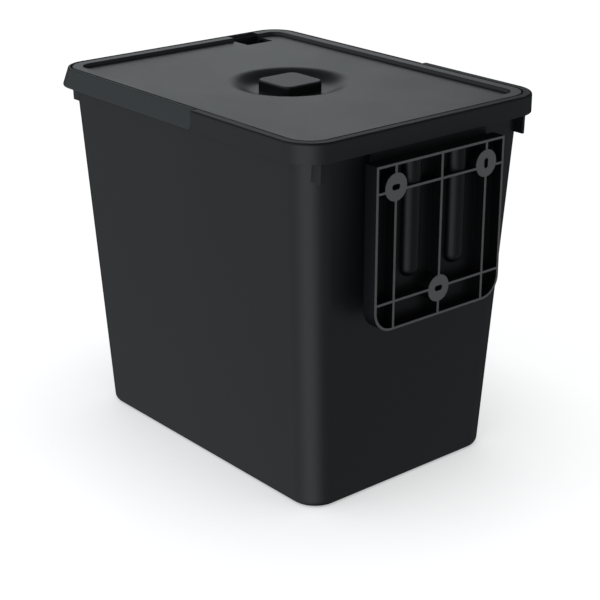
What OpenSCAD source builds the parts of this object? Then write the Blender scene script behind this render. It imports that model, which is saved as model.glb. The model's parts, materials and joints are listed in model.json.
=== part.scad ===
// Lidded waste bin with a swing carrying handle and a door bracket.
// Origin: centre of the base on the floor. +Z is up, +X points at the door that the bracket is
// screwed to, and the handle's crossbar rests on the -X side. Sizes are in millimetres.

/* [Rim] */
// Length of the rim over its skirt, along X
rim_l = 348; // [300:0.1:420]
// Width of the rim over its skirt, along Y
rim_w = 261; // [220:1:320]
// Corner radius of the rim in plan
rim_r = 29.5; // [27:0.5:34]
// Height from the floor to the top of the rim
bin_h = 320; // [265:1:390]
// Height of the skirt that hangs round the rim
skirt_h = 16; // [14:0.1:20]
// Thickness of the skirt
skirt_t = 2.5; // [2:0.1:3]
// Width of the flat band round the top of the rim
band_w = 7.4; // [7:0.02:9]
// Radius of the rim's rounded outer top edge
rim_edge_r = 2; // [0.5:0.1:2.4]
// Thickness of the ledge that carries the lid
ledge_t = 2.5; // [2:0.1:3]

/* [Body] */
// How far the body stands inside the rim, just under the skirt
overhang = 10.2; // [9.5:0.1:12]
// How far the end walls lean in between the skirt and the floor
draft_x = 13; // [8:0.5:16]
// How far the side walls lean in between the skirt and the floor
draft_y = 17; // [8:0.5:20]
// Corner radius of the body in plan
body_r = 24; // [20:0.5:27]
// Thickness of the walls
wall_t = 2.5; // [2:0.1:3]
// Thickness of the floor
floor_t = 3; // [2:0.1:4]
// Radius of the edge between the walls and the floor
base_edge_r = 6; // [4:0.5:8]

/* [Corner fins] */
// Thickness of each fin
fin_t = 2.2; // [1.5:0.1:3]
// Distance of a fin's outer edge inside the rim, below the skirt
fin_inset = 5; // [3:0.1:6]
// How far a fin reaches below the skirt
fin_drop = 17; // [10:0.5:25]
// Distance of a fin inside the rim's side, along Y
fin_side = 20.5; // [18:0.5:24]

/* [Lid] */
// Gap between the lid's edge and the rim's band
lid_gap = 0.7; // [0.5:0.1:1]
// Thickness of the lid's raised border
border_t = 3; // [2.5:0.1:4]
// Width of the lid's raised border
border_w = 11; // [10:0.5:16]
// Width of the slope between the border and the panel
step_w = 1.8; // [0.5:0.1:3]
// Corner radius of the sunken panel
panel_r = 11; // [6:0.5:16]
// Thickness of the lid's panel
panel_t = 2.5; // [2:0.1:3]
// Gap between the stiffening rib and the bin's walls
rib_gap = 3.6; // [3:0.1:4]
// Thickness of the stiffening rib
rib_t = 2; // [1.5:0.1:2.5]
// Height of the rib, from the top of the border
rib_h = 11; // [8:0.5:14]
// Length of the finger notch, in from the lid's edge
notch_l = 31.5; // [25:0.5:36]
// Width of the finger notch
notch_w = 30; // [25:0.5:36]
// Distance of the notch's middle from the lid's edge, along Y
notch_side = 46.5; // [40:0.5:55]

/* [Finger dish and knob] */
// Radius of the dish's lip
dish_r = 55; // [50:0.5:60]
// Depth of the dish below the panel
dish_d = 7.5; // [6:0.1:9]
// Width of the flat seat that shows round the knob's corners
seat_margin = 1.6; // [0.5:0.1:4]
// Side of the square knob
knob_w = 43; // [36:0.1:54]
// Corner radius of the knob
knob_r = 8.5; // [7:0.5:12]
// Height of the knob above the lid's panel
knob_rise = 1.6; // [0.5:0.1:3]
// Wall of the hollow knob
knob_wall = 2.5; // [2:0.1:3]
// Radius of the knob's rounded top edge
knob_edge_r = 1.6; // [0.5:0.1:2]
// Radius of the screw boss inside the knob
knob_boss_r = 5; // [4:0.1:6]

/* [Knob screw] */
// Radius of the knob screw's shank
screw_r = 1.75; // [1.5:0.05:2]
// Length of the knob screw's shank
screw_l = 9; // [8:0.1:9.5]
// Radius of the screw's head
screw_head_r = 3.5; // [3:0.1:4]
// Height of the screw's head
screw_head_h = 2.2; // [1.8:0.1:2.5]
// Length of each arm of the cross recess in the screw's head
cross_l = 4.6; // [3:0.1:5]
// Width of the cross recess
cross_w = 0.9; // [0.6:0.1:1.2]
// Depth of the cross recess
cross_d = 1.1; // [0.8:0.1:1.4]
// Radial clearance of the screw in the lid and in the washer
screw_gap = 0.25; // [0.1:0.05:0.4]
// Radius of the washer
washer_r = 6; // [5:0.1:8]
// Thickness of the washer
washer_t = 0.8; // [0.6:0.1:1.2]

/* [Handle] */
// Distance of the pivot in front of the bin's middle, along X
pivot_x = 22; // [10:0.5:40]
// Length of each arm past the pivot
arm_tail = 10; // [9:0.1:11]
// Height of the flat at each arm's end, between its rounded corners
arm_flat = 5; // [3:0.1:6]
// Gap between the handle's bar and the lid
bar_gap = 1.1; // [0.9:0.1:1.6]
// How far the bar's outer face leans in towards its top
bar_slant = 5; // [3:0.1:5.2]
// Height of the upright strip along the bar's lower edge
bar_foot = 1.5; // [1:0.1:3]
// Gap between an arm's end, as it turns, and the rim in front of it
arm_gap = 0.3; // [0.2:0.05:0.6]
// Gap between the handle at rest and the rear fins that it lies over
rest_gap = 0.4; // [0.3:0.05:0.6]

/* [Handle pins] */
// Radius of each pivot pin
pin_r = 3; // [2.5:0.1:3.2]
// Radial running clearance of the handle on its pins
pin_fit = 0.08; // [0.03:0.01:0.1]
// Radius of a pin's head
pin_head_r = 5; // [4.5:0.1:5.2]
// Thickness of a pin's head
pin_head_t = 1.6; // [1.2:0.1:1.6]
// Height of the round pad inside the wall that a pin's head seats on
pad_h = 1.1; // [0.8:0.1:2]
// How far that pad stands out round the pin's head
pad_margin = 0.4; // [0.2:0.1:0.8]
// Gap between that pad and the ledge above it
pad_gap = 0.1; // [0.1:0.05:0.5]
// Gap between an arm and the spacer on the wall beside it
spacer_gap = 0.3; // [0.2:0.05:0.6]
// Depth of the blind bore in each arm
bore_depth = 3.4; // [3:0.1:3.5]
// Gap between a pin's tip and the end of its bore
tip_gap = 0.3; // [0.2:0.1:0.5]

/* [Door bracket] */
// Width of the bracket
bracket_w = 138.6; // [120:0.2:150]
// Height of the bracket
bracket_h = 136.4; // [125:0.2:150]
// Depth of the bracket's tray
tray_d = 13; // [12:0.1:16]
// Distance of the door's face beyond the rim
door_gap = 11; // [10:0.1:14]
// Distance of the tray's top edge below the skirt
tray_gap = 7.6; // [6:0.1:12]
// Radius of the tray's lower corners
tray_r = 18; // [12:0.5:24]
// Thickness of the tray's outer wall and of its ribs
tray_t = 2; // [1.5:0.1:2.5]
// Thickness of the tray's back plate
plate_t = 2.5; // [2:0.1:3]
// Distance of the outer upright ribs from the middle
rib_y = 49.2; // [45:0.1:50]
// Depth of the upper cross rib below the tray's top edge
rib_top = 22; // [18:0.1:26]
// Depth of the lower cross rib below the tray's top edge
rib_low = 112.5; // [105:0.1:114]
// Radius of the screw bosses
boss_r = 11.3; // [9:0.1:12]
// Depth of the upper bosses below the tray's top edge
boss_top = 19.2; // [16:0.1:24]
// Length of each screw slot
slot_l = 8.4; // [6:0.1:10]
// Width of each screw slot
slot_w = 4.5; // [4:0.1:5]
// Radius of the two half-round flutes
flute_r = 9.6; // [7:0.1:10]
// Height of the flutes' round lower ends above the lower cross rib
flute_lift = 22; // [15:0.5:30]

/* [Bracket hook] */
// Width of the hook that goes up behind the skirt
hook_w = 124; // [100:1:130]
// Thickness of the hook
hook_t = 2.8; // [2:0.1:3]
// Gap between the hook and the rim
hook_gap = 0.5; // [0.4:0.1:0.8]
// Gap between the bracket's rear ribs and the bin's wall
wall_gap = 0.7; // [0.5:0.1:1]
// Number of webs behind the hook
hook_webs = 4; // [2:1:6]
// Thickness of the bracket's rear ribs
rear_rib_t = 2; // [1.5:0.1:3]
// Distance of the two standoff ribs from the middle
standoff_y = 56; // [50:0.5:60]

/* [Hidden] */
$fn = 96;
ROUND_STEPS = 4;      // steps in a rounded edge
HULL_FN = 48;         // facets of a round piece that a hull joins
OVER = 1;             // how far a cut runs past the face it opens
LEDGE_LAP = 8;        // how far the ledge's section runs in under the lid, for the mouth to trim

// heights
ledge_z = bin_h - border_t;
skirt_z = bin_h - skirt_h;
panel_z = bin_h - border_t;
seat_z = panel_z - dish_d;
knob_top = panel_z + knob_rise;
screw_depth = knob_top - knob_wall - seat_z;      // depth of the knob's screw hole
pin_pad_r = pin_head_r + pad_margin;
pivot_z = ledge_z - pad_gap - pin_pad_r;

// plan sizes
lid_l = rim_l - 2 * (band_w + lid_gap);
lid_w = rim_w - 2 * (band_w + lid_gap);
lid_r = rim_r - band_w - lid_gap;
ledge_in = rim_r - band_w - LEDGE_LAP;

// the handle's bar, and how far its ends reach round the pivot
bar_w = band_w + lid_gap - bar_gap;
arm_end_x = pivot_x + arm_tail;
arm_end_r = (skirt_h - arm_flat) / 2;
arm_side = max(bin_h - pivot_z, pivot_z - skirt_z);
arm_reach = arm_end_r + norm([arm_tail - arm_end_r, arm_side - arm_end_r]);
recess_x = pivot_x + arm_reach + arm_gap;

// the knob's corners and the seat round them
knob_reach = (knob_w / 2 - knob_r) * sqrt(2) + knob_r;
seat_r = knob_reach + seat_margin;

// half length and half width of the body's outer wall at height z
function wall_x(z) = rim_l / 2 - overhang - draft_x * (1 - z / skirt_z);
function wall_y(z) = rim_w / 2 - overhang - draft_y * (1 - z / skirt_z);

// Rounded rectangle of true arcs, centred on the origin
module plan(l, w, r) {
    square([l - 2 * r, w], center = true);
    square([l, w - 2 * r], center = true);
    for (sx = [-1, 1], sy = [-1, 1])
        translate([sx * (l / 2 - r), sy * (w / 2 - r)]) circle(r);
}

// Prism on that plan, from z0 up to z1
module block(l, w, r, z0, z1) {
    translate([0, 0, z0]) linear_extrude(z1 - z0) plan(l, w, r);
}

// The plan's four corner centres, in turn
module at_corners(l, w, r) {
    for (sx = [-1, 1], sy = [-1, 1])
        translate([sx * (l / 2 - r), sy * (w / 2 - r), 0]) children();
}

// Points of a quarter round from the side of a disc of radius r up to its top at height h
function round_over(r, h, edge) = [for (k = [0 : ROUND_STEPS])
    [r - edge * (1 - cos(90 * k / ROUND_STEPS)), h - edge * (1 - sin(90 * k / ROUND_STEPS))]];

// Disc of radius r, h high, with its upper edge rounded
module puck(r, h, edge) {
    rotate_extrude($fn = HULL_FN) polygon(concat([[0, 0], [r, 0]], round_over(r, h, edge), [[0, h]]));
}

// A section swept all round a rounded rectangle: its X is the distance from a corner's centre
module swept(l, w, r) {
    cx = l / 2 - r;
    cy = w / 2 - r;
    for (turn = [0, 180]) rotate([0, 0, turn]) {
        translate([-cx, cy, 0]) rotate([90, 0, 90]) linear_extrude(2 * cx) children();
        translate([cx, -cy, 0]) rotate([90, 0, 0]) mirror([0, 0, 1]) linear_extrude(2 * cy) children();
        translate([cx, cy, 0]) rotate_extrude(angle = 90) children();
        translate([-cx, cy, 0]) rotate([0, 0, 90]) rotate_extrude(angle = 90) children();
    }
}

// Slot of true arcs along X, centred on the origin
module slot(l, w) {
    square([l - w, w], center = true);
    for (s = [-1, 1]) translate([s * (l - w) / 2, 0]) circle(w / 2);
}

// ---- body ----

// The tapered bucket's solid: inset by t all round, standing on z0, its top slab from z1 to z2
module bucket(t, z0, z1, z2, edge) {
    r = body_r - t;
    foot = z0 + edge;
    hull() {
        at_corners(2 * (wall_x(foot) - t), 2 * (wall_y(foot) - t), r)
            translate([0, 0, foot]) mirror([0, 0, 1]) puck(r, edge, edge);
        at_corners(2 * (wall_x(z1) - t), 2 * (wall_y(z1) - t), r)
            translate([0, 0, z1]) cylinder(r = r, h = z2 - z1, $fn = HULL_FN);
    }
}

// Section of the rim: skirt, top band and the ledge that carries the lid
module rim_section() {
    polygon(concat([[rim_r - skirt_t, skirt_z], [rim_r, skirt_z]],
                   round_over(rim_r, bin_h, rim_edge_r),
                   [[rim_r - band_w, bin_h], [rim_r - band_w, ledge_z],
                    [ledge_in, ledge_z], [ledge_in, ledge_z - ledge_t],
                    [rim_r - skirt_t, ledge_z - ledge_t]]));
}

// Everything outside the lid's outline on the handle's half of the rim
module handle_recess() {
    difference() {
        translate([-rim_l, -rim_w, skirt_z - OVER])
            cube([rim_l + recess_x, 2 * rim_w, skirt_h + 2 * OVER]);
        block(lid_l, lid_w, lid_r, skirt_z - 2 * OVER, bin_h + 2 * OVER);
    }
}

// One upright fin under the rim's corner, on the side and end given by their signs
module fin(sx, sy) {
    tip = rim_l / 2 - fin_inset;
    root = wall_x(skirt_z) - body_r / 2;      // behind the wall, where the mouth trims it
    lean = draft_x * fin_drop / skirt_z;
    top = sx > 0 ? ledge_z - ledge_t / 2 : skirt_z - rest_gap;
    translate([0, sy * (rim_w / 2 - fin_side) + fin_t / 2, 0]) rotate([90, 0, 0])
        linear_extrude(fin_t)
            polygon([[sx * root, skirt_z - fin_drop], [sx * (tip - lean), skirt_z - fin_drop],
                     [sx * tip, skirt_z - rest_gap], [sx * tip, top], [sx * root, top]]);
}

pad_y = wall_y(pivot_z) - wall_t - pad_h;                 // seat of a pin's head
spacer_y = rim_w / 2 - bar_w - spacer_gap;                // end of the spacer beside the arm

// Round cylinder across the wall, between two distances from the middle
module across(sy, y0, y1, r) {
    translate([pivot_x, sy * y0, pivot_z]) rotate([-90 * sy, 0, 0]) cylinder(r = r, h = y1 - y0);
}

module bin_body() {
    color([0.16, 0.17, 0.18]) difference() {
        union() {
            difference() {
                union() {
                    bucket(0, 0, ledge_z - ledge_t, ledge_z, base_edge_r);
                    difference() {
                        swept(rim_l, rim_w, rim_r) rim_section();
                        handle_recess();
                    }
                    block(lid_l, lid_w, lid_r, ledge_z - ledge_t, ledge_z);
                    for (sx = [-1, 1], sy = [-1, 1]) fin(sx, sy);
                    for (sy = [-1, 1]) across(sy, wall_y(pivot_z) - wall_t, spacer_y, pin_pad_r);
                }
                bucket(wall_t, floor_t, bin_h + OVER, bin_h + 2 * OVER, base_edge_r - wall_t);
            }
            for (sy = [-1, 1]) across(sy, pad_y, wall_y(pivot_z) - wall_t / 2, pin_pad_r);
        }
        for (sy = [-1, 1]) across(sy, pad_y - OVER, spacer_y + OVER, pin_r);
    }
}

// ---- lid ----

// Height of the dish's surface at fraction f of the way from its seat to its lip
function dish_z(f) = seat_z + dish_d * (1 - cos(180 * f)) / 2;

DISH_STEPS = 14;      // steps across the dish's slope
dish_lap = 0.4;       // how far the dish's edge laps into the panel
dish_curve = [for (k = [0 : DISH_STEPS])
    [seat_r + (dish_r - seat_r) * k / DISH_STEPS, dish_z(k / DISH_STEPS)]];

module dish() {
    under = [for (k = [DISH_STEPS : -1 : 0]) dish_curve[k] - [0, panel_t]];
    rotate_extrude() polygon(concat([[screw_r + screw_gap, seat_z]], dish_curve, under,
                                    [[screw_r + screw_gap, seat_z - panel_t]]));
}

module lid() {
    rib_z = bin_h - rib_h;
    rib_l = 2 * (wall_x(rib_z) - wall_t - rib_gap);
    rib_w = 2 * (wall_y(rib_z) - wall_t - rib_gap);
    rib_r = body_r - wall_t - rib_gap;
    panel_l = lid_l - 2 * border_w;
    panel_w = lid_w - 2 * border_w;
    color([0.36, 0.37, 0.38]) {
        difference() {
            union() {
                block(lid_l, lid_w, lid_r, ledge_z, bin_h);
                block(rib_l, rib_w, rib_r, rib_z, bin_h - border_t / 2);
            }
            hull() at_corners(panel_l, panel_w, panel_r) translate([0, 0, panel_z])
                cylinder(r1 = panel_r, r2 = panel_r + 2 * step_w, h = 2 * border_t, $fn = HULL_FN);
            block(rib_l - 2 * rib_t, rib_w - 2 * rib_t, rib_r - rib_t,
                  rib_z - OVER, panel_z - panel_t);
            cylinder(r = dish_r - dish_lap, h = bin_h + OVER);
            translate([-lid_l / 2 - OVER, lid_w / 2 - notch_side - notch_w / 2, rib_z - OVER])
                cube([notch_l + OVER, notch_w, rib_h + 2 * OVER]);
        }
        dish();
    }
}

// ---- knob, its screw and washer ----

module lid_knob() {
    hollow = knob_w - 2 * knob_wall;
    color([0.34, 0.35, 0.36]) difference() {
        union() {
            difference() {
                hull() at_corners(knob_w, knob_w, knob_r)
                    translate([0, 0, seat_z]) puck(knob_r, knob_top - seat_z, knob_edge_r);
                block(hollow, hollow, knob_r - knob_wall, seat_z - OVER, knob_top - knob_wall);
            }
            translate([0, 0, seat_z])
                cylinder(r = knob_boss_r, h = knob_top - knob_wall / 2 - seat_z);
        }
        translate([0, 0, seat_z - OVER])
            cylinder(r = screw_r, h = screw_depth + OVER);
    }
}

washer_z = seat_z - panel_t - washer_t;

module knob_screw() {
    color([0.6, 0.6, 0.6]) difference() {
        union() {
            translate([0, 0, washer_z]) cylinder(r = screw_r, h = screw_l);
            translate([0, 0, washer_z - screw_head_h]) cylinder(r = screw_head_r, h = screw_head_h);
        }
        for (turn = [0, 90]) rotate([0, 0, turn])
            translate([0, 0, washer_z - screw_head_h])
                cube([cross_l, cross_w, 2 * cross_d], center = true);
    }
}

module knob_washer() {
    color([0.6, 0.6, 0.6]) translate([0, 0, washer_z]) difference() {
        cylinder(r = washer_r, h = washer_t);
        translate([0, 0, -OVER]) cylinder(r = screw_r + screw_gap, h = washer_t + 2 * OVER);
    }
}

// ---- handle ----

// Section of the bar: X is the distance from the corner's centre, Y is the height
module bar_section() {
    polygon([[rim_r - bar_w, skirt_z], [rim_r, skirt_z], [rim_r, skirt_z + bar_foot],
             [rim_r - bar_slant, bin_h], [rim_r - bar_w, bin_h]]);
}

// The bar swept round the -X half of the rim, up to x = end on both sides
module bar_sweep(end) {
    cx = rim_l / 2 - rim_r;
    cy = rim_w / 2 - rim_r;
    for (sy = [0, 1]) mirror([0, sy, 0]) {
        translate([-cx, cy, 0]) rotate([90, 0, 90]) linear_extrude(end + cx) bar_section();
        translate([-cx, cy, 0]) rotate([0, 0, 90]) rotate_extrude(angle = 90) bar_section();
    }
    translate([-cx, -cy, 0]) rotate([90, 0, 180]) linear_extrude(2 * cy) bar_section();
}

module carry_handle() {
    color([0.25, 0.26, 0.27]) difference() {
        intersection() {
            bar_sweep(arm_end_x);
            translate([0, rim_w, 0]) rotate([90, 0, 0]) linear_extrude(2 * rim_w)
                translate([arm_end_x - rim_l, (skirt_z + bin_h) / 2])
                    plan(2 * rim_l, skirt_h, arm_end_r);
        }
        for (sy = [-1, 1])
            across(sy, rim_w / 2 - bar_w - OVER, rim_w / 2 - bar_w + bore_depth, pin_r + pin_fit);
    }
}

// Pivot pin on the side given by its sign, pushed out through the wall from inside
module handle_pin(sy) {
    color([0.12, 0.12, 0.12]) {
        across(sy, pad_y - pin_head_t, pad_y, pin_head_r);
        across(sy, pad_y - pin_head_t / 2, rim_w / 2 - bar_w + bore_depth - tip_gap, pin_r);
    }
}

// ---- door bracket ----

door_x = rim_l / 2 + door_gap;
plate_x = door_x - tray_d;
tray_top = skirt_z - tray_gap;
boss_low = rib_low + tray_t / 2;

// Outline of the tray less an inset, X across and Y up, its top edge at 0
module tray_outline(in) {
    w = bracket_w - 2 * in;
    h = bracket_h - 2 * in;
    r = tray_r - in;
    translate([0, -in]) {
        translate([-w / 2, r - h]) square([w, h - r]);
        translate([r - w / 2, -h]) square([w - 2 * r, h]);
        for (s = [-1, 1]) translate([s * (w / 2 - r), r - h]) circle(r);
    }
}

// Stands a drawing up across the bracket, d thick, its back at x
module upright(x, d) {
    translate([x, 0, tray_top]) rotate([90, 0, 90]) linear_extrude(d) children();
}

// Drawing of the ribs, clipped to the tray's outline
module rib_drawing() {
    intersection() {
        tray_outline(tray_t / 2);
        union() {
            for (y = [-rib_y, 0, rib_y])
                translate([y - tray_t / 2, -bracket_h]) square([tray_t, bracket_h]);
            for (drop = [rib_top, rib_low])
                translate([-bracket_w / 2, -drop - tray_t / 2]) square([bracket_w, tray_t]);
        }
    }
}

// The three screw places: y, depth below the top edge, turn of the slot
SCREWS = [[-rib_y, boss_top, 0], [rib_y, boss_top, 90], [0, boss_low, 0]];

module flutes(r, x) {
    z_low = tray_top - rib_low + flute_lift;
    for (s = [-1, 1]) translate([x, s * rib_y / 2, z_low]) {
        cylinder(r = r, h = tray_top - tray_t / 2 - z_low);
        sphere(r);
    }
}

// Upright web from the plate back to the bin's wall, at y, between two heights
module rear_web(y, x1, z0, z1) {
    translate([0, y + rear_rib_t / 2, 0]) rotate([90, 0, 0]) linear_extrude(rear_rib_t)
        polygon([[wall_x(z0) + wall_gap, z0], [x1, z0], [x1, z1], [wall_x(z1) + wall_gap, z1]]);
}

module door_bracket() {
    hook_x = rim_l / 2 - skirt_t - hook_gap - hook_t;
    hook_z = ledge_z - ledge_t - hook_gap;
    color([0.10, 0.10, 0.10]) difference() {
        union() {
            upright(plate_x, plate_t) tray_outline(0);
            upright(plate_x, tray_d) difference() {
                tray_outline(0);
                tray_outline(tray_t);
            }
            upright(plate_x, tray_d) rib_drawing();
            for (s = SCREWS) upright(plate_x, tray_d) translate([s[0], -s[1]]) circle(boss_r);
            intersection() {
                flutes(flute_r, plate_x + plate_t / 2);
                upright(plate_x, tray_d) tray_outline(0);
            }
            translate([hook_x, -hook_w / 2, tray_top - plate_t])
                cube([plate_x + plate_t - hook_x, hook_w, plate_t]);
            translate([hook_x, -hook_w / 2, tray_top - plate_t])
                cube([hook_t, hook_w, hook_z - tray_top + plate_t]);
            for (k = [0 : hook_webs - 1])
                rear_web(((k + 0.5) / hook_webs - 0.5) * hook_w, hook_x + hook_t / 2,
                         tray_top - plate_t, hook_z);
            for (s = [-1, 1])
                rear_web(s * standoff_y, plate_x + plate_t / 2, tray_top - bracket_h + tray_r,
                         tray_top);
        }
        for (s = SCREWS)
            upright(plate_x - OVER, tray_d + 2 * OVER) translate([s[0], -s[1]])
                rotate(s[2]) slot(slot_l, slot_w);
        flutes(flute_r - tray_t, plate_x + plate_t / 2 - tray_t);
    }
}

bin_body();
lid();
lid_knob();
knob_screw();
knob_washer();
carry_handle();
handle_pin(1);  // handle_pin_left
handle_pin(-1);  // handle_pin_right
door_bracket();
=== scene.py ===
# %% [markdown]
# # A lidded waste bin, piece by piece
# The part is a household bin: a tapered bucket with a rim, a loose lid with a finger dish and a
# knob, a carrying handle that folds round the back of the rim, and a ribbed bracket that hangs the
# bin on a cupboard door. The frame that is loaded first holds the design's true sizes and its
# joints. This file only builds the looks round it, so its overall sizes are read from the frame.

# %% Load the frame
import bmesh
import bpy
import json
import math
from mathutils import Matrix, Vector


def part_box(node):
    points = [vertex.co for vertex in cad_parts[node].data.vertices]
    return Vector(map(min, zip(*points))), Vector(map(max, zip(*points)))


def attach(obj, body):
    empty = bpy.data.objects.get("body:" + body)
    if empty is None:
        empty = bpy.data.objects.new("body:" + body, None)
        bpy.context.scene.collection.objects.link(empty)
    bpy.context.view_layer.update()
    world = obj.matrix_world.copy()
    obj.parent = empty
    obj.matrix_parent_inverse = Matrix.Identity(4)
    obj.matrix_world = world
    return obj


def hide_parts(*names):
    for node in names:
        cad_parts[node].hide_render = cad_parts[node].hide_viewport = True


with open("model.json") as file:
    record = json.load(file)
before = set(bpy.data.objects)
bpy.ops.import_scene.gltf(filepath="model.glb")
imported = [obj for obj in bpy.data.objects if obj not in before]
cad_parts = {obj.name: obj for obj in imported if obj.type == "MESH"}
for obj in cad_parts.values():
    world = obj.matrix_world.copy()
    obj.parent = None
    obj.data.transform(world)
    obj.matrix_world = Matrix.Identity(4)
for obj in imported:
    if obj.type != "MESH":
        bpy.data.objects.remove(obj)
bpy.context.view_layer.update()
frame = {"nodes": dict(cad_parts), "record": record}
MM = 0.001

# %% [markdown]
# ## The camera
# A long lens stands well back and looks down a little, which keeps the bin's uprights nearly
# parallel. The camera is placed by its bearing round the bin, its tilt and its distance from a
# point near the middle, so that each of the three can be changed by itself.

# %% Camera
BEARING = math.radians(49.85)      # round the bin, from the long side towards the bracket's end
TILT = math.radians(21.54)         # how far it looks down
DISTANCE = 1.4011
LENS = 94.62
SENSOR = 36.0
AIM = Vector((0.0, 0.0, 0.16))
AIM_RIGHT, AIM_UP = 0.0085, -0.0403

back = Vector((math.sin(BEARING) * math.cos(TILT),
               -math.cos(BEARING) * math.cos(TILT), math.sin(TILT)))
right = Vector((math.cos(BEARING), math.sin(BEARING), 0.0))
up = back.cross(right)
camera = bpy.data.objects.new("camera", bpy.data.cameras.new("camera"))
camera.data.lens = LENS
camera.data.sensor_width = SENSOR
camera.location = AIM + back * DISTANCE + right * AIM_RIGHT + up * AIM_UP
camera.rotation_euler = back.to_track_quat("Z", "Y").to_euler()
bpy.context.scene.collection.objects.link(camera)
bpy.context.scene.camera = camera
print("camera at", [round(v, 3) for v in camera.location])

# %% [markdown]
# ## The studio
# Dark plastic shows its shape by what it reflects, so this studio has no lamps, only things to
# mirror. The room is a dim sky with four glowing boards in it: a small one behind the bin, which
# the lid mirrors at a low angle and the dish's walls mostly miss, one along the long side, one at
# the corner nearest the camera, and a faint one at the bracket's end. Each board is a soft patch
# of sky, made from the angle between a direction and the board's middle.

# %% Boards in the sky
# each board: the direction of its middle, the half angles of its core and its edge, and its glow
BOARDS = {
    "behind": ((-0.74, 0.56, 0.31), 6, 17, 0.61),
    "long side": ((-0.14, -0.95, -0.06), 50, 88, 0.385),
    "corner": ((0.60, -0.76, -0.36), 10, 46, 0.78),
    "bracket end": ((0.78, 0.58, -0.25), 20, 62, 0.17),
}
SKY_GLOW = 0.05
SKY_TINT = (0.93, 0.975, 1.0, 1)
BACKDROP = (1.0, 1.0, 1.0, 1)

world = bpy.data.worlds.new("studio")
world.use_nodes = True
sky = world.node_tree
sky.nodes.clear()
toward = sky.nodes.new("ShaderNodeTexCoord").outputs["Generated"]
total = None
for name, (middle, core, edge, glow) in BOARDS.items():
    angle = sky.nodes.new("ShaderNodeVectorMath")
    angle.operation = "DOT_PRODUCT"
    angle.inputs[1].default_value = Vector(middle).normalized()
    sky.links.new(toward, angle.inputs[0])
    patch = sky.nodes.new("ShaderNodeMapRange")
    patch.interpolation_type = "SMOOTHSTEP"
    patch.inputs["From Min"].default_value = math.cos(math.radians(edge))
    patch.inputs["From Max"].default_value = math.cos(math.radians(core))
    patch.inputs["To Max"].default_value = glow
    sky.links.new(angle.outputs["Value"], patch.inputs["Value"])
    gather = sky.nodes.new("ShaderNodeMath")
    gather.inputs[1].default_value = SKY_GLOW
    sky.links.new(patch.outputs["Result"], gather.inputs[0])
    if total:
        sky.links.new(total, gather.inputs[1])
    total = gather.outputs["Value"]

lit = sky.nodes.new("ShaderNodeBackground")
lit.inputs["Color"].default_value = SKY_TINT
sky.links.new(total, lit.inputs["Strength"])
plain = sky.nodes.new("ShaderNodeBackground")
plain.inputs["Color"].default_value = BACKDROP
seen = sky.nodes.new("ShaderNodeMixShader")
sky.links.new(sky.nodes.new("ShaderNodeLightPath").outputs["Is Camera Ray"], seen.inputs["Fac"])
sky.links.new(lit.outputs["Background"], seen.inputs[1])
sky.links.new(plain.outputs["Background"], seen.inputs[2])
sky.links.new(seen.outputs["Shader"], sky.nodes.new("ShaderNodeOutputWorld").inputs["Surface"])
bpy.context.scene.world = world
bpy.context.scene.view_settings.view_transform = "Standard"
print("boards:", list(BOARDS))

# %% [markdown]
# The floor is a sheet of white that glows, as a light table does, so it stays white where the
# boards are dim. Its glow fades where something stands close above it, which makes the soft
# shadow round the base. It neither mirrors in the plastic nor lights it, which keeps the sides of
# the bin as dark as they are in a real studio with black cards round the object.

# %% Floor
FLOOR_SIZE = 24.0
FLOOR_WHITE = (0.90, 0.91, 0.93, 1)
FLOOR_GLOW = 0.90
FLOOR_ROUGH = 0.9
FLOOR_SHADE = 0.57                 # how much of the glow is lost where the floor is covered
SHADE_REACH = 0.16                 # how far above the floor a thing still dims it

bm = bmesh.new()
bmesh.ops.create_grid(bm, x_segments=1, y_segments=1, size=FLOOR_SIZE / 2)
sheet = bpy.data.meshes.new("floor")
bm.to_mesh(sheet)
bm.free()
floor = bpy.data.objects.new("floor", sheet)
bpy.context.scene.collection.objects.link(floor)
white = bpy.data.materials.new("studio_white")
white.use_nodes = True
shader = white.node_tree.nodes["Principled BSDF"]
shader.inputs["Base Color"].default_value = FLOOR_WHITE
shader.inputs["Roughness"].default_value = FLOOR_ROUGH
shader.inputs["Specular IOR Level"].default_value = 0.0
shader.inputs["Emission Color"].default_value = (1, 1, 1, 1)
near = white.node_tree.nodes.new("ShaderNodeAmbientOcclusion")
near.inputs["Distance"].default_value = SHADE_REACH
glow = white.node_tree.nodes.new("ShaderNodeMapRange")
glow.inputs["To Min"].default_value = FLOOR_GLOW - FLOOR_SHADE
glow.inputs["To Max"].default_value = FLOOR_GLOW
white.node_tree.links.new(near.outputs["AO"], glow.inputs["Value"])
white.node_tree.links.new(glow.outputs["Result"], shader.inputs["Emission Strength"])
sheet.materials.append(white)
floor.visible_glossy = False
floor.visible_diffuse = False
print("floor", FLOOR_SIZE, "m across, glow", FLOOR_GLOW)

# %% [markdown]
# ## Moulded plastic
# Each part is black or dark grey polypropylene. The mould's skin leaves a fine grain with pits in
# it, which the finish makes as a bump. Slow flow marks change the roughness and the tint, and a
# paler line runs along the edges, where handling wears the plastic. A few helpers keep the node
# trees short to write.

# %% Node helpers
def add(tree, kind, **values):
    """A node with its inputs or settings given by name."""
    node = tree.nodes.new(kind)
    for key, value in values.items():
        name = key.replace("_", " ")
        if name in node.inputs:
            node.inputs[name].default_value = value
        else:
            setattr(node, key, value)
    return node


def spread(tree, source, low, high):
    """Maps a 0 to 1 value to the range from low to high."""
    node = add(tree, "ShaderNodeMapRange")
    node.inputs["To Min"].default_value = low
    node.inputs["To Max"].default_value = high
    tree.links.new(source, node.inputs["Value"])
    return node.outputs["Result"]


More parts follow.
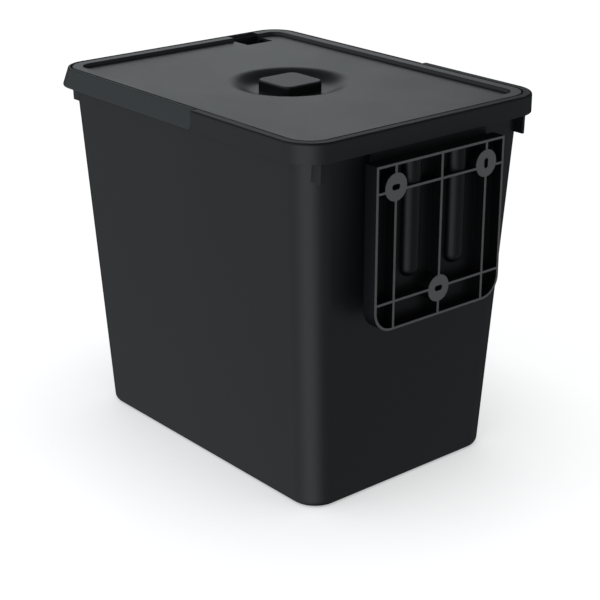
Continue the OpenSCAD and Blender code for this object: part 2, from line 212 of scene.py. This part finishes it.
def blend(tree, factor, one, two):
    """Mixes two colours, each a socket or three numbers, by a factor's socket."""
    mix = add(tree, "ShaderNodeMix", data_type="RGBA")
    tree.links.new(factor, mix.inputs["Factor"])
    for name, colour in (("A", one), ("B", two)):
        if isinstance(colour, bpy.types.NodeSocket):
            tree.links.new(colour, mix.inputs[name])
        else:
            mix.inputs[name].default_value = (*colour, 1)
    return mix.outputs["Result"]


# %% [markdown]
# Two masks say where a face is paled. The first compares the surface's normal with one that is
# rounded over a small radius, so it finds the edges by itself and needs no painting; it marks the
# worn edges. The second rises between two places along an axis, and paints light: it pales the face
# that the light falls on.

# %% Masks for wear and painted light
FLAT_DOT, EDGE_DOT = 0.995, 0.9    # how alike the two normals are on a flat and on a worn edge


def edge_mask(tree, radius):
    """Near 1 on the mesh's edges and 0 on its flats."""
    rounded = add(tree, "ShaderNodeBevel", samples=6, Radius=radius)
    plain = add(tree, "ShaderNodeNewGeometry")
    dot = add(tree, "ShaderNodeVectorMath", operation="DOT_PRODUCT")
    tree.links.new(rounded.outputs["Normal"], dot.inputs[0])
    tree.links.new(plain.outputs["Normal"], dot.inputs[1])
    mask = add(tree, "ShaderNodeMapRange", clamp=True)
    mask.inputs["From Min"].default_value = FLAT_DOT
    mask.inputs["From Max"].default_value = EDGE_DOT
    tree.links.new(dot.outputs["Value"], mask.inputs["Value"])
    return mask.outputs["Result"]


# painted light: this mask pales the part of a piece that the light falls on
def lit_face_paint_mask(tree, place, axis, start, end):
    """Rises from 0 to 1 between two places along an axis."""
    split = add(tree, "ShaderNodeSeparateXYZ")
    tree.links.new(place, split.inputs["Vector"])
    mask = add(tree, "ShaderNodeMapRange", clamp=True)
    mask.inputs["From Min"].default_value = start
    mask.inputs["From Max"].default_value = end
    tree.links.new(split.outputs[axis], mask.inputs["Value"])
    return mask.outputs["Result"]


# %% [markdown]
# One function makes every finish, because they differ only in a few numbers, such as the tint,
# the roughness and the size of the grain. The speckle's and the worn edges' colours are worked out
# from the tint, so that they follow it when it is changed.

# %% The moulded finish
MARKS = 11.0                       # scale of the slow flow marks
TINT_DRIFT = 0.08                  # share by which the marks darken and lighten the tint
SPECKLE, SPECKLE_GAIN = 0.35, 1.5  # most that the grain mixes in of a paler tint, and its gain
WORN_GAIN, WORN_BASE = 2.2, 0.02   # a worn edge's tint is the tint times one plus the other
GLOSS_DRIFT, GRAIN_GLOSS = 0.06, 0.05  # how far the marks and the grain move the roughness
PIT_SHARE = 0.6                    # the pits' scale as a share of the grain's, so they are larger


def moulded(name, tint, rough, grain, depth, flow=(1, 1, 1), wear=0.25, edge=0.8 * MM,
            metallic=0.0, specular=0.5, painted_light=None):
    """Moulded plastic or plated metal.

    grain is the cells per metre of the mould's skin and depth their height, flow stretches the
    slow marks, wear is how far the edges pale, and the last argument is (axis, start, end, tint)
    for a face paled with painted light, where the light falls on it.
    """
    material = bpy.data.materials.new(name)
    material.use_nodes = True
    tree = material.node_tree
    shader = tree.nodes["Principled BSDF"]
    shader.inputs["Metallic"].default_value = metallic
    shader.inputs["Specular IOR Level"].default_value = specular
    place = add(tree, "ShaderNodeTexCoord").outputs["Object"]
    stretch = add(tree, "ShaderNodeMapping", Scale=flow)
    tree.links.new(place, stretch.inputs["Vector"])

    marks = add(tree, "ShaderNodeTexNoise", Scale=MARKS, Detail=4.0, Roughness=0.6)
    tree.links.new(stretch.outputs["Vector"], marks.inputs["Vector"])
    skin = add(tree, "ShaderNodeTexNoise", Scale=grain, Detail=3.0, Roughness=0.7)
    tree.links.new(place, skin.inputs["Vector"])
    pits = add(tree, "ShaderNodeTexVoronoi", Scale=grain * PIT_SHARE)
    tree.links.new(place, pits.inputs["Vector"])

    darker = [c * (1 - TINT_DRIFT) for c in tint]
    lighter = [c * (1 + TINT_DRIFT) for c in tint]
    colour = blend(tree, marks.outputs["Fac"], darker, lighter)
    # painted light: a lit face is paled to a lighter tint between two places along an axis
    if painted_light:
        axis, start, end, painted_light_tint = painted_light
        colour = blend(tree, lit_face_paint_mask(tree, place, axis, start, end), colour, painted_light_tint)
    speckle = spread(tree, skin.outputs["Fac"], 0.0, SPECKLE)
    colour = blend(tree, speckle, colour, [c * SPECKLE_GAIN for c in tint])
    amount = add(tree, "ShaderNodeMath", operation="MULTIPLY")
    amount.inputs[1].default_value = wear
    tree.links.new(edge_mask(tree, edge), amount.inputs[0])
    worn_tint = [min(1, c * WORN_GAIN + WORN_BASE) for c in tint]
    tree.links.new(blend(tree, amount.outputs["Value"], colour, worn_tint),
                   shader.inputs["Base Color"])

    gloss = add(tree, "ShaderNodeMath", operation="ADD")
    slow = spread(tree, marks.outputs["Fac"], rough - GLOSS_DRIFT, rough + GLOSS_DRIFT)
    tree.links.new(slow, gloss.inputs[0])
    tree.links.new(spread(tree, skin.outputs["Fac"], -GRAIN_GLOSS, GRAIN_GLOSS), gloss.inputs[1])
    tree.links.new(gloss.outputs["Value"], shader.inputs["Roughness"])

    height = add(tree, "ShaderNodeMath", operation="MULTIPLY")
    tree.links.new(skin.outputs["Fac"], height.inputs[0])
    tree.links.new(pits.outputs["Distance"], height.inputs[1])
    bump = add(tree, "ShaderNodeBump", Strength=0.5, Distance=depth)
    tree.links.new(height.outputs["Value"], bump.inputs["Height"])
    tree.links.new(bump.outputs["Normal"], shader.inputs["Normal"])
    return material


# %% [markdown]
# ## The bin's finishes
# The body and the bracket have marks stretched along the draw of the mould, and the screw's are
# squeezed along its axis, as turning leaves them. The bracket's faces towards the door and the
# knob's top are paled as painted light, where the light falls on them. The bracket's near-black tint
# paints the shade in its cells, and the knob's dark tint paints the shade on its sides.

# %% Finishes
door_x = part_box("door_bracket")[1].x
knob_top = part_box("lid_knob")[1].z
# painted light: the pale tints of the lit bracket fronts and the lit knob top
PAINTED_LIGHT_RIB = (0.24, 0.24, 0.245)
PAINTED_LIGHT_TOP = (0.115, 0.124, 0.129)
RIB_FADE, TOP_FADE = 0.5 * MM, 0.9 * MM  # how deep below the face the paling starts
FULLY_PALE = 0.2 * MM              # how deep below the face it is complete

finishes = {
    "body_plastic": moulded("body_plastic", (0.0150, 0.0178, 0.0195), 0.44, 1500, 0.10 * MM,
                            flow=(1, 1, 0.35)),
    "lid_plastic": moulded("lid_plastic", (0.025, 0.030, 0.033), 0.30, 1100, 0.06 * MM),
    # painted shade and light: the knob's near-black tint paints the shade on its sides, and its top
    # is paled as painted light
    "knob_plastic": moulded("knob_plastic", (0.005, 0.006, 0.0065), 0.34, 1200, 0.16 * MM,
                            painted_light=("Z", knob_top - TOP_FADE, knob_top - FULLY_PALE, PAINTED_LIGHT_TOP)),
    "handle_plastic": moulded("handle_plastic", (0.046, 0.052, 0.056), 0.38, 1600, 0.06 * MM,
                              wear=0.5),
    "pin_plastic": moulded("pin_plastic", (0.02, 0.02, 0.021), 0.3, 2200, 0.04 * MM),
    # painted shade and light: the near-black tint paints the shade in the bracket's cells, and its
    # faces towards the door are paled as painted light
    "bracket_plastic": moulded("bracket_plastic", (0.006, 0.0065, 0.0075), 0.40, 1500, 0.06 * MM,
                               flow=(1, 1, 0.3), specular=0.35,
                               painted_light=("X", door_x - RIB_FADE, door_x - FULLY_PALE, PAINTED_LIGHT_RIB)),
    "screw_steel": moulded("screw_steel", (0.55, 0.55, 0.53), 0.32, 900, 0.03 * MM,
                           flow=(1, 1, 6), wear=0.2, edge=0.3 * MM, metallic=1.0),
}
print("finishes:", sorted(finishes))

# %% [markdown]
# ## Tools of the bench
# Nearly every part here is a rounded rectangle that changes size as it rises, so one helper draws
# such a ring: a square is scaled, and its four corners are beveled into arcs. Rings are bridged
# one to the next. Two rings in one plane can be bridged the wrong way round, so the rings are
# first stacked well apart, bridged, and only then set to their true heights.

# %% Rings and lofts
CORNER_STEPS = 20
STACK = 1.0                        # distance between rings while they are bridged


def ring(bm, length, width, radius, z):
    """Edges of a rounded rectangle, centred over the origin at height z."""
    square = bmesh.ops.create_grid(bm, x_segments=1, y_segments=1, size=0.5)["verts"]
    bmesh.ops.scale(bm, vec=(length, width, 1), verts=square)
    bmesh.ops.translate(bm, vec=(0, 0, z), verts=square)
    rounded = bmesh.ops.bevel(bm, geom=square, offset=radius, offset_type="OFFSET",
                              segments=CORNER_STEPS, profile=0.5, affect="VERTICES", material=-1)
    face = max((f for v in rounded["verts"] for f in v.link_faces), key=lambda f: len(f.verts))
    edges = list(face.edges)
    bmesh.ops.delete(bm, geom=[face], context="FACES_ONLY")
    return edges


def loft(rungs, closed=False):
    """A skin through rounded rectangles given as (length, width, radius, z), in turn."""
    bm = bmesh.new()
    rings = [ring(bm, length, width, radius, k * STACK)
             for k, (length, width, radius, z) in enumerate(rungs)]
    members = [{v for e in edges for v in e.verts} for edges in rings]
    for one, two in zip(rings, rings[1:]):
        bmesh.ops.bridge_loops(bm, edges=one + two)
    if closed:
        bmesh.ops.bridge_loops(bm, edges=rings[-1] + rings[0])
    else:
        bmesh.ops.contextual_create(bm, geom=rings[0])
        bmesh.ops.contextual_create(bm, geom=rings[-1])
    for verts, rung in zip(members, rungs):
        for v in verts:
            v.co.z = rung[3]
    return bm


def quarter(radius, steps=6):
    """(inwards, upwards) moves along a quarter round of that radius, from its side to its top."""
    angles = [math.pi / 2 * k / steps for k in range(steps + 1)]
    return [(radius * (1 - math.cos(a)), radius * math.sin(a)) for a in angles]


# %% [markdown]
# A skin becomes an object once its doubles are merged and its faces point outwards. Printing its
# open edges and its volume is the cheapest way to catch a skin that was bridged badly: a good one
# has no open edge, and the volume of the real part.

# %% Solids and carving
TOUCHING = 1e-6                    # points closer than this are one
CM3 = 1e-6                         # a cubic centimetre in cubic metres


def solid(name, bm):
    """An object from a closed bmesh, at the origin."""
    bmesh.ops.remove_doubles(bm, verts=bm.verts, dist=TOUCHING)
    bmesh.ops.recalc_face_normals(bm, faces=bm.faces)
    mesh = bpy.data.meshes.new(name)
    bm.to_mesh(mesh)
    bm.free()
    obj = bpy.data.objects.new(name, mesh)
    bpy.context.scene.collection.objects.link(obj)
    return obj


def carve(piece, other, operation):
    """Joins another solid to a piece, or cuts it away, and keeps only the result."""
    step = piece.modifiers.new("carve", "BOOLEAN")
    step.operation = operation
    step.solver = "EXACT"
    step.object = other
    depsgraph = bpy.context.evaluated_depsgraph_get()
    made = bpy.data.meshes.new_from_object(piece.evaluated_get(depsgraph))
    piece.modifiers.remove(step)
    piece.data = made
    bpy.data.objects.remove(other)


def measure(piece):
    """Prints a piece's open edges and its volume."""
    bm = bmesh.new()
    bm.from_mesh(piece.data)
    open_edges = sum(1 for e in bm.edges if not e.is_manifold)
    print(piece.name, "open edges", open_edges, "volume cm3", round(bm.calc_volume() / CM3, 1))
    bm.free()


# %% [markdown]
# No moulded edge is truly sharp. Each piece ends with a bevel that only takes edges that turn by
# more than a set angle, so the arcs of the corners stay as they are, and with weighted normals
# that keep the large flat faces flat in the light.

# %% Finishing a piece
SHARP = math.radians(32)           # a turn that gets a round
FLAT_TURN = math.radians(0.4)      # a turn too small to keep
FACE_WEIGHT = 90                   # how much the large faces rule the shading


def soften(piece, width, segments=3):
    """Breaks a piece's sharp edges with small rounds, and shades its curves smooth."""
    bm = bmesh.new()
    bm.from_mesh(piece.data)
    bmesh.ops.remove_doubles(bm, verts=bm.verts, dist=2 * TOUCHING)
    bmesh.ops.dissolve_limit(bm, angle_limit=FLAT_TURN, verts=bm.verts, edges=bm.edges)
    for face in bm.faces:
        face.smooth = True
    bm.to_mesh(piece.data)
    bm.free()
    rounding = piece.modifiers.new("edges", "BEVEL")
    rounding.width = width
    rounding.segments = segments
    rounding.limit_method = "ANGLE"
    rounding.angle_limit = SHARP
    rounding.use_clamp_overlap = True
    even = piece.modifiers.new("normals", "WEIGHTED_NORMAL")
    even.keep_sharp = False
    even.weight = FACE_WEIGHT


def finish(piece, node, body, slot):
    """Puts a piece in its node's place, on its body, in its finish."""
    measure(piece)
    piece.data.materials.clear()
    piece.data.materials.append(finishes[slot])
    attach(piece, body)
    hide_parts(node)


# %% [markdown]
# ## Sizes from the frame
# The boxes of the CAD nodes give the rim, the lid, the handle and the knob. What a box can't say,
# such as a wall's thickness or a corner's radius, is named once, here or with its piece.

# %% Sizes
body_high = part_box("bin_body")[1]
lid_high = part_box("lid")[1]
bar_low, bar_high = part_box("carry_handle")
knob_low, knob_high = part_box("lid_knob")

rim_l, rim_w, top_z = 2 * body_high.x, 2 * body_high.y, body_high.z
lid_l, lid_w = 2 * lid_high.x, 2 * lid_high.y
skirt_z = bar_low.z
RIM_R = 29.5 * MM
SKIRT_T = 2.5 * MM
BAND_W = 7.4 * MM
RIM_EDGE = 2 * MM
OVERHANG = 10.2 * MM
DRAFT_X, DRAFT_Y = 13 * MM, 17 * MM
BODY_R = 24 * MM
WALL_T, FLOOR_T, LEDGE_T = 2.5 * MM, 3 * MM, 2.5 * MM
BASE_EDGE = 6 * MM
BORDER_T = 3 * MM
ledge_z = top_z - BORDER_T
lid_r = RIM_R - (rim_l - lid_l) / 2
print("rim", round(rim_l / MM), "x", round(rim_w / MM), "mm, top at", round(top_z / MM))

# %% [markdown]
# ## The bucket
# The real body is one injection moulding, drawn from its mould by the lean of its walls. It is
# lofted first as a solid: up the outside from the base's rounded edge, out under the ledge, down
# and up round the skirt, over the rim's band and down to the ledge that carries the lid. The
# inside is cut away later, so that whatever is added to the outside ends flush with it.

# %% Bucket
def wall_plan(z, inset):
    """Length, width and radius of the wall at height z, moved inwards by inset."""
    lean = 1 - z / skirt_z
    return (rim_l - 2 * (OVERHANG + DRAFT_X * lean + inset),
            rim_w - 2 * (OVERHANG + DRAFT_Y * lean + inset), BODY_R - inset)


def rim_plan(inset):
    """The rim's plan, moved inwards."""
    return (rim_l - 2 * inset, rim_w - 2 * inset, RIM_R - inset)


def lid_plan(inset):
    """The lid's plan, moved inwards."""
    return (lid_l - 2 * inset, lid_w - 2 * inset, lid_r - inset)


under_ledge = ledge_z - LEDGE_T
outside = [(*wall_plan(BASE_EDGE, inward), BASE_EDGE - rise)
           for inward, rise in reversed(quarter(BASE_EDGE))]
outside += [(*wall_plan(under_ledge, 0), under_ledge), (*rim_plan(SKIRT_T), under_ledge),
            (*rim_plan(SKIRT_T), skirt_z), (*rim_plan(0), skirt_z)]
outside += [(*rim_plan(inward), top_z - RIM_EDGE + rise) for inward, rise in quarter(RIM_EDGE)]
outside += [(*rim_plan(BAND_W), top_z), (*rim_plan(BAND_W), ledge_z)]
bin_shell = solid("bin_shell", loft(outside))
measure(bin_shell)

# %% [markdown]
# ## The handle's recess
# Along the rear half the rim stops at the lid's outline, and the handle lies in its place. The
# cutter is a frame round the lid's outline, kept only as far forward as the arms reach.

# %% Recess
PAST = 3 * MM                      # how far a cutter runs past the face that it opens
ARM_CLEARANCE = 1.2 * MM


def keep_rear(bm, x):
    """Removes what lies in front of x, closes the cut, and returns the faces that close it."""
    cut = bmesh.ops.bisect_plane(bm, geom=bm.verts[:] + bm.edges[:] + bm.faces[:], dist=1e-7,
                                 plane_co=(x, 0, 0), plane_no=(1, 0, 0), clear_outer=True)
    edges = [e for e in cut["geom_cut"] if isinstance(e, bmesh.types.BMEdge)]
    return bmesh.ops.holes_fill(bm, edges=edges)["faces"]


bm = loft([(*lid_plan(0), skirt_z - MM), (*rim_plan(-PAST), skirt_z - MM),
           (*rim_plan(-PAST), top_z + PAST), (*lid_plan(0), top_z + PAST)], closed=True)
keep_rear(bm, bar_high.x + ARM_CLEARANCE)
carve(bin_shell, solid("recess", bm), "DIFFERENCE")
measure(bin_shell)

# %% [markdown]
# ## Corner fins
# Four upright fins stiffen the corners under the rim. Each is a block whose lower outer edge is
# drawn in to follow the wall's lean. The front two run up behind the skirt, and the rear two stop
# under the handle and carry it.

# %% Fins
FIN_T, FIN_INSET, FIN_DROP, FIN_SIDE = 2.2 * MM, 5 * MM, 17 * MM, 20.5 * MM
FIN_ROOT = 22 * MM                 # behind the wall, where the mouth trims it
REST_GAP = 0.4 * MM


def corner_fin(end, side):
    """A fin at one corner, given by the signs of its end and its side."""
    tip, root = rim_l / 2 - FIN_INSET, rim_l / 2 - FIN_ROOT
    top = ledge_z - LEDGE_T / 2 if end > 0 else skirt_z - REST_GAP
    low = skirt_z - FIN_DROP
    bm = bmesh.new()
    bmesh.ops.create_cube(bm, size=1)
    bmesh.ops.scale(bm, vec=(tip - root, FIN_T, top - low), verts=bm.verts)
    bmesh.ops.translate(bm, vec=((tip + root) / 2, side * (rim_w / 2 - FIN_SIDE),
                                 (top + low) / 2), verts=bm.verts)
    toe = [v for v in bm.verts if v.co.z < (top + low) / 2 and v.co.x > (tip + root) / 2]
    bmesh.ops.translate(bm, vec=(-DRAFT_X * FIN_DROP / skirt_z, 0, 0), verts=toe)
    bmesh.ops.scale(bm, vec=(end, 1, 1), verts=bm.verts)
    return solid("fin", bm)


for end in (-1, 1):
    for side in (-1, 1):
        carve(bin_shell, corner_fin(end, side), "UNION")
measure(bin_shell)

# %% [markdown]
# ## The mouth and the pivots
# One long plug cuts the inside, with a small round where the walls meet the floor. A spacer
# outside each wall keeps the handle's arm off it, a pad inside seats the pin's head, and one bore
# runs through both.

# %% Mouth, spacers and pads
PIVOT_X, PIVOT_DROP = 22 * MM, 8.5 * MM
PIVOT = Vector((PIVOT_X, 0, top_z - PIVOT_DROP))
PIN_R, PAD_R, PAD_H = 3 * MM, 5.4 * MM, 1.1 * MM
SPACER_INSET = 7.3 * MM
PIVOT_STEPS = 48


def drum(radius, start, stop, side):
    """A cylinder across the wall at the pivot, between two distances from the bin's middle."""
    bm = bmesh.new()
    bmesh.ops.create_cone(bm, cap_ends=True, segments=PIVOT_STEPS, radius1=radius, radius2=radius,
                          depth=stop - start)
    place = Matrix.Translation(PIVOT + Vector((0, side * (start + stop) / 2, 0)))
    bmesh.ops.transform(bm, matrix=place @ Matrix.Rotation(math.pi / 2, 4, "X"), verts=bm.verts)
    return solid("drum", bm)


wall_out = wall_plan(PIVOT.z, 0)[1] / 2
spacer_out = rim_w / 2 - SPACER_INSET
pad_in = wall_out - WALL_T - PAD_H
for side in (-1, 1):
    carve(bin_shell, drum(PAD_R, wall_out - WALL_T, spacer_out, side), "UNION")

inner_edge = BASE_EDGE - WALL_T
plug = [(*wall_plan(FLOOR_T + inner_edge, WALL_T + inward), FLOOR_T + inner_edge - rise)
        for inward, rise in reversed(quarter(inner_edge))]
plug += [(*wall_plan(top_z + PAST, WALL_T), top_z + PAST)]
carve(bin_shell, solid("mouth", loft(plug)), "DIFFERENCE")
for side in (-1, 1):
    carve(bin_shell, drum(PAD_R, pad_in, wall_out - WALL_T / 2, side), "UNION")
    carve(bin_shell, drum(PIN_R, pad_in - MM, spacer_out + MM, side), "DIFFERENCE")
soften(bin_shell, width=0.35 * MM)
finish(bin_shell, "bin_body", "bin", "body_plastic")

# %% [markdown]
# ## The handle
# The handle is one bar bent round three sides, so its section is lofted round the whole rim and
# the front is cut away. The cut ends then get the large rounds that let each arm turn in its gap.

# %% Handle
BAR_W, BAR_SLANT, BAR_FOOT, ARM_END_R = 7 * MM, 5 * MM, 1.5 * MM, 5.5 * MM
BORE_DEPTH, PIN_FIT = 3.4 * MM, 0.08 * MM
ARM_STEPS = 10

bm = loft([(*rim_plan(BAR_W), skirt_z), (*rim_plan(0), skirt_z), (*rim_plan(0), skirt_z + BAR_FOOT),
           (*rim_plan(BAR_SLANT), top_z), (*rim_plan(BAR_W), top_z)], closed=True)
ends = keep_rear(bm, bar_high.x)
level = [e for f in ends for e in f.edges if abs(e.verts[0].co.z - e.verts[1].co.z) < MM / 10]
bmesh.ops.bevel(bm, geom=level, offset=ARM_END_R, offset_type="OFFSET", segments=ARM_STEPS,
                profile=0.5, affect="EDGES", material=-1, clamp_overlap=True)
handle_bail = solid("handle_bail", bm)
arm_in = rim_w / 2 - BAR_W
for side in (-1, 1):
    carve(handle_bail, drum(PIN_R + PIN_FIT, arm_in - MM, arm_in + BORE_DEPTH, side), "DIFFERENCE")
soften(handle_bail, width=0.6 * MM)
finish(handle_bail, "carry_handle", "handle", "handle_plastic")

# %% [markdown]
# ## The lid
# The lid is one thin moulding: a raised border, a soft step down to a flat panel, and a dish in
# the middle for the fingers. Since a circle is a square with corners as round as they can be, the
# dish is made of the same rings as the rest, and one closed loft runs from the screw's hole out
# along the underside, down and up the stiffening rib, round the edge and back in over the top.

# %% Lid
BORDER_W, STEP_W, PANEL_R, PANEL_T = 11 * MM, 1.8 * MM, 11 * MM, 2.5 * MM
RIB_GAP, RIB_T, RIB_H = 3.6 * MM, 2 * MM, 11 * MM
LID_EDGE = 1.2 * MM
DISH_R, DISH_D, SEAT_R, HOLE_R = 55 * MM, 7.5 * MM, 28.5 * MM, 2 * MM
DISH_STEPS, SLOPE_STEPS = 18, 8
NEARLY = 0.9995                    # a ring's corners just short of half its side
panel_z = ledge_z
seat_z = panel_z - DISH_D
rib_z = top_z - RIB_H


def rib_plan(inset):
    """The stiffening rib's plan, a named gap inside the mouth."""
    return wall_plan(rib_z, WALL_T + RIB_GAP + inset)


def panel_plan(grow):
    """The sunken panel's plan, grown up its sloping step."""
    return (lid_l - 2 * BORDER_W + 2 * grow, lid_w - 2 * BORDER_W + 2 * grow, PANEL_R + grow)


def round_plan(radius):
    """A circle as a ring."""
    return (2 * radius, 2 * radius, NEARLY * radius)


def s_curve(steps):
    """Fractions (along, up) of a slope that is flat at both ends, from its foot."""
    return [(k / steps, (1 - math.cos(math.pi * k / steps)) / 2) for k in range(steps + 1)]


dish = [(SEAT_R + (DISH_R - SEAT_R) * along, seat_z + DISH_D * up)
        for along, up in s_curve(DISH_STEPS)]
rungs = [(*round_plan(HOLE_R), seat_z - PANEL_T)]
rungs += [(*round_plan(r), z - PANEL_T) for r, z in dish]
rungs += [(*rib_plan(RIB_T), panel_z - PANEL_T), (*rib_plan(RIB_T), rib_z), (*rib_plan(0), rib_z),
          (*rib_plan(0), ledge_z), (*lid_plan(0), ledge_z)]
rungs += [(*lid_plan(inward), top_z - LID_EDGE + rise) for inward, rise in quarter(LID_EDGE)]
rungs += [(*panel_plan(STEP_W * along), panel_z + BORDER_T * up)
          for along, up in reversed(s_curve(SLOPE_STEPS))]
rungs += [(*round_plan(r), z) for r, z in reversed(dish)]
rungs += [(*round_plan(HOLE_R), seat_z)]
lid_plate = solid("lid_plate", loft(rungs, closed=True))
measure(lid_plate)

# %% [markdown]
# The finger notch is a square opening in the lid's rear edge, beside the handle's crossbar. A
# finger reaches through it to lift the bar, so it goes right through the border and the rib.

# %% Finger notch
NOTCH_L, NOTCH_W, NOTCH_SIDE, NOTCH_R = 31.5 * MM, 30 * MM, 46.5 * MM, 1.5 * MM
NOTCH_STEPS = 5
bm = bmesh.new()
bmesh.ops.create_cube(bm, size=1)
bmesh.ops.scale(bm, vec=(NOTCH_L + PAST, NOTCH_W, 2 * RIB_H), verts=bm.verts)
bmesh.ops.translate(bm, vec=((NOTCH_L - PAST - lid_l) / 2, lid_w / 2 - NOTCH_SIDE, rib_z),
                    verts=bm.verts)
inner = [e for e in bm.edges if all(v.co.x > NOTCH_L - lid_l / 2 - MM for v in e.verts)
         and abs(e.verts[0].co.z - e.verts[1].co.z) > MM]
bmesh.ops.bevel(bm, geom=inner, offset=NOTCH_R, offset_type="OFFSET", segments=NOTCH_STEPS,
                profile=0.5, affect="EDGES", material=-1)
carve(lid_plate, solid("notch", bm), "DIFFERENCE")
soften(lid_plate, width=0.4 * MM)
finish(lid_plate, "lid", "lid", "lid_plastic")

# %% [markdown]
# ## The knob
# The knob is a hollow cap on the dish's seat. The skin runs from its ceiling down the inside, round
# its foot and up to the rounded top. A boss in the middle takes the screw from below.

# %% Knob
KNOB_R, KNOB_WALL, KNOB_EDGE = 8.5 * MM, 2.5 * MM, 1.6 * MM
BOSS_R, SCREW_R = 5 * MM, 1.75 * MM
knob_w = knob_high.x - knob_low.x
screw_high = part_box("knob_screw")[1]


def knob_plan(inset):
    """The knob's plan, moved inwards."""
    return (knob_w - 2 * inset, knob_w - 2 * inset, KNOB_R - inset)


ceiling = knob_high.z - KNOB_WALL
rungs = [(*round_plan(SCREW_R), screw_high.z), (*round_plan(SCREW_R), knob_low.z),
         (*round_plan(BOSS_R), knob_low.z), (*round_plan(BOSS_R), ceiling),
         (*knob_plan(KNOB_WALL), ceiling), (*knob_plan(KNOB_WALL), knob_low.z),
         (*knob_plan(0), knob_low.z)]
rungs += [(*knob_plan(inward), knob_high.z - KNOB_EDGE + rise) for inward, rise in quarter(KNOB_EDGE)]
knob_cap = solid("knob_cap", loft(rungs))
soften(knob_cap, width=0.3 * MM)
finish(knob_cap, "lid_knob", "lid", "knob_plastic")

# %% [markdown]
# ## The bracket
# The bracket's tray, ribs, bosses and hook are already right in the frame, so its piece is a copy
# of that mesh with its loose triangles merged into clean faces. What it lacks is the small round
# that a mould leaves on every rib, and that round is what catches the light.

# %% Bracket
source = frame["nodes"]["door_bracket"]
bm = bmesh.new()
bm.from_mesh(source.data)
bmesh.ops.remove_doubles(bm, verts=bm.verts, dist=TOUCHING)
mesh = bpy.data.meshes.new("bracket_tray")
bm.to_mesh(mesh)
bm.free()
bracket_tray = bpy.data.objects.new("bracket_tray", mesh)
bpy.context.scene.collection.objects.link(bracket_tray)
soften(bracket_tray, width=0.4 * MM)
finish(bracket_tray, "door_bracket", "bracket", "bracket_plastic")

# %% [markdown]
# ## Small hardware
# The knob's screw and washer and the two pivot pins keep their frame meshes, and only their
# finish changes.

# %% Hardware finishes
slot_of = {row["node"]: row["material_slot"] for row in frame["record"]["subparts"]}
for node in ("knob_screw", "knob_washer", "handle_pin_left", "handle_pin_right"):
    obj = frame["nodes"][node]
    obj.data.materials.clear()
    obj.data.materials.append(finishes[slot_of[node]])
    print(node, "in", slot_of[node])
